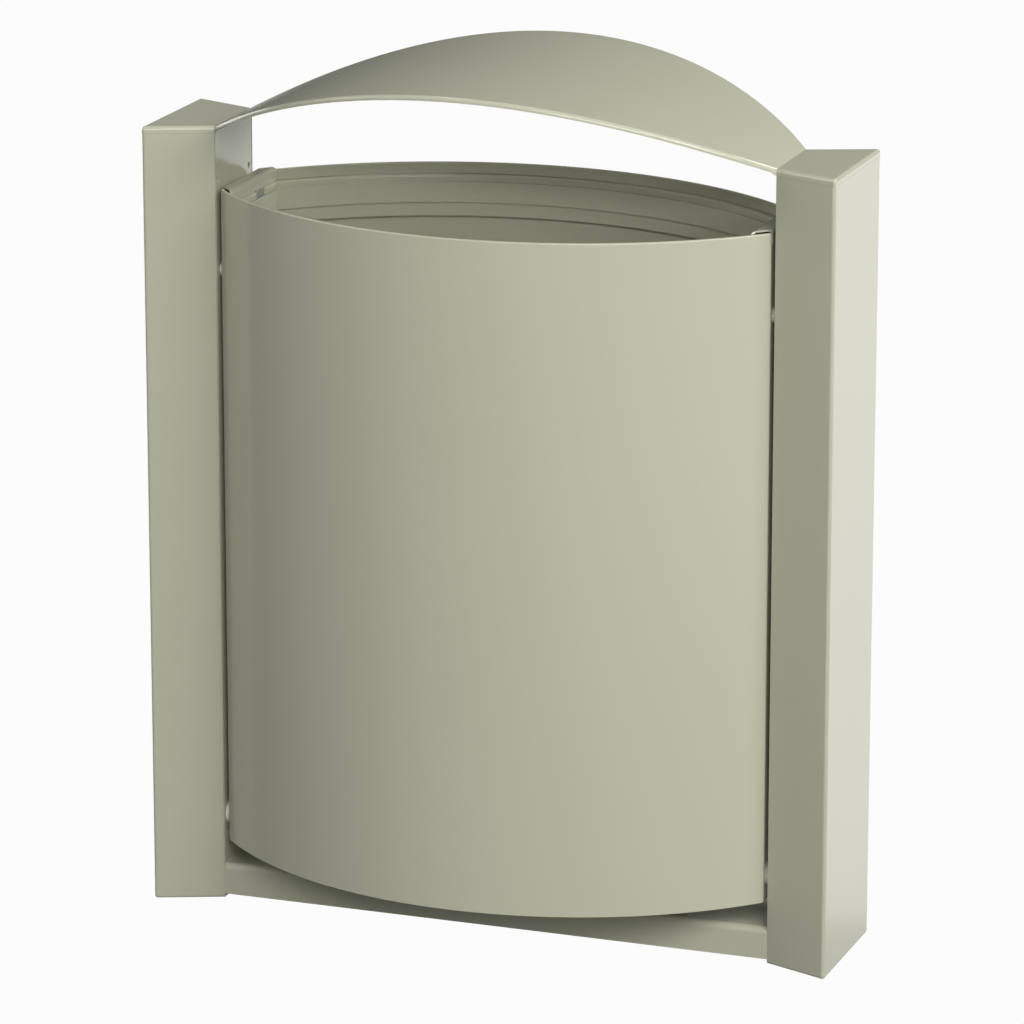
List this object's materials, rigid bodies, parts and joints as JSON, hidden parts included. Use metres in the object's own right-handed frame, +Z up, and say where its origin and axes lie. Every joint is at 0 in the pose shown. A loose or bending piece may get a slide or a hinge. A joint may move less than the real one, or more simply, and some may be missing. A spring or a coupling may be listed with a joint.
{
  "type": "wall-mounted waste bin",
  "caption": "Wall-mounted tipping waste bin: a lens-shaped container on pivots between folded posts, under an arched hood, with a bag ring and a key lock.",
  "frame": {"origin": "centre of the four wall bolt holes, on the plane of the wall", "axes": "+X to the right seen from the front, +Y into the wall, +Z up"},
  "size_m": [0.6425, 0.326, 0.786],
  "materials": {
    "powder_coat": "satin-gloss pebble-grey powder coat",
    "zinc": "bright zinc plated",
    "chrome": "polished chrome plated",
    "nylon": "natural nylon",
    "rubber": "matt black rubber"
  },
  "bodies": {
    "frame": {"beam_bolts": "zinc", "bottom_beam": "powder_coat", "buffer_bolts": "zinc", "hood": "powder_coat", "hood_angles": "powder_coat", "hood_nuts": "zinc", "inner_plate_screws": "zinc", "left_post_inner_plate": "powder_coat", "left_post_shell": "powder_coat", "left_wall_rail": "powder_coat", "lock_case": "chrome", "lock_ring_nut": "zinc", "pivot_nuts": "zinc", "pivot_studs": "zinc", "pivot_washers": "zinc", "rail_screws": "zinc", "rest_buffers": "rubber", "right_post_inner_plate": "powder_coat", "right_post_shell": "powder_coat", "right_wall_rail": "powder_coat"},
    "bin": {"front_panel": "powder_coat", "rear_panel": "powder_coat", "left_side_panel": "powder_coat", "right_side_panel": "powder_coat", "floor_pan": "powder_coat", "bag_collar": "powder_coat", "ring_clips": "zinc", "pivot_bushes": "nylon", "pivot_doublers": "powder_coat", "glide_buttons": "nylon", "lock_keeper": "zinc"},
    "bag_ring": {"bag_ring": "powder_coat"},
    "lock": {"lock_spindle": "zinc", "lock_cam": "zinc"}
  },
  "joints": [
    {"name": "body_tilt", "type": "hinge", "parent": "frame", "child": "bin", "pos_m": [0, -0.198, -0.281], "axis": [1, 0, 0], "range_deg": [0, 45]},
    {"name": "bag_ring_lift", "type": "slide", "parent": "bin", "child": "bag_ring", "axis": [0, 0, 1], "range_m": [0, 0.045]},
    {"name": "lock_turn", "type": "hinge", "parent": "frame", "child": "lock", "pos_m": [-0.29, -0.18, 0.14], "axis": [1, 0, 0], "range_deg": [0, 90]}
  ]
}
